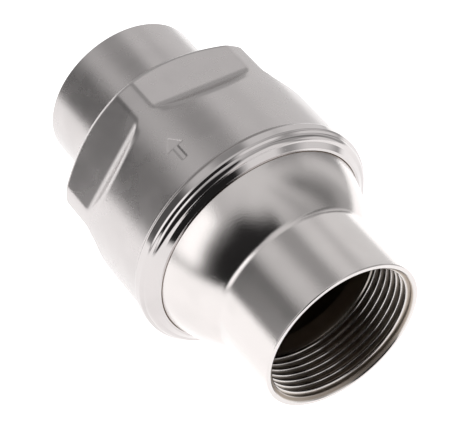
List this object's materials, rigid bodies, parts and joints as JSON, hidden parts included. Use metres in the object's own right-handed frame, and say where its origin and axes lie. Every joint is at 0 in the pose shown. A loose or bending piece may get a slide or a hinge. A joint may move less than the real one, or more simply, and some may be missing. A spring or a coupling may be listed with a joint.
{
  "type": "check valve",
  "caption": "Inline spring check valve: pressed stainless body with wrench flats, threaded sockets at both ends, and a spring-loaded disc on a guided stem.",
  "frame": {"origin": "middle of the valve's overall length, on its axis", "axes": "+X along the valve's axis in the direction of flow, from the domed inlet end to the hexagonal outlet end; +Z through the middle of one wrench flat"},
  "size_m": [0.114, 0.0766, 0.0766],
  "materials": {
    "polished_steel": "polished stainless sheet",
    "satin_steel": "satin stainless sheet",
    "inner_steel": "plain stainless sheet",
    "turned_steel": "turned stainless bar",
    "spring_steel": "drawn stainless spring wire and strip",
    "seal_rubber": "smooth black nitrile rubber",
    "gasket": "pressed fibre sheet",
    "bush_plastic": "off-white acetal"
  },
  "bodies": {
    "valve_body": {"inlet_shell": "polished_steel", "hex_body_shell": "satin_steel", "inlet_gasket": "gasket", "seat_plate": "inner_steel", "outlet_gasket": "gasket", "inlet_guide": "inner_steel", "outlet_guide": "inner_steel", "guide_rivets": "inner_steel", "inlet_bush": "bush_plastic", "outlet_bush": "bush_plastic", "inlet_bush_clip": "spring_steel", "outlet_bush_clip": "spring_steel", "spring": "spring_steel"},
    "poppet": {"stem": "turned_steel", "disc": "inner_steel", "seal_ring": "seal_rubber", "seal_retainer": "inner_steel", "lock_washer": "spring_steel", "stem_nut": "turned_steel", "spring_cup": "inner_steel"}
  },
  "joints": [
    {"name": "poppet_lift", "type": "slide", "parent": "valve_body", "child": "poppet", "axis": [1, 0, 0], "range_m": [0, 0.01], "stiffness_N_per_m": 1360, "springref_m": -0.004, "deforming": ["spring"]}
  ]
}
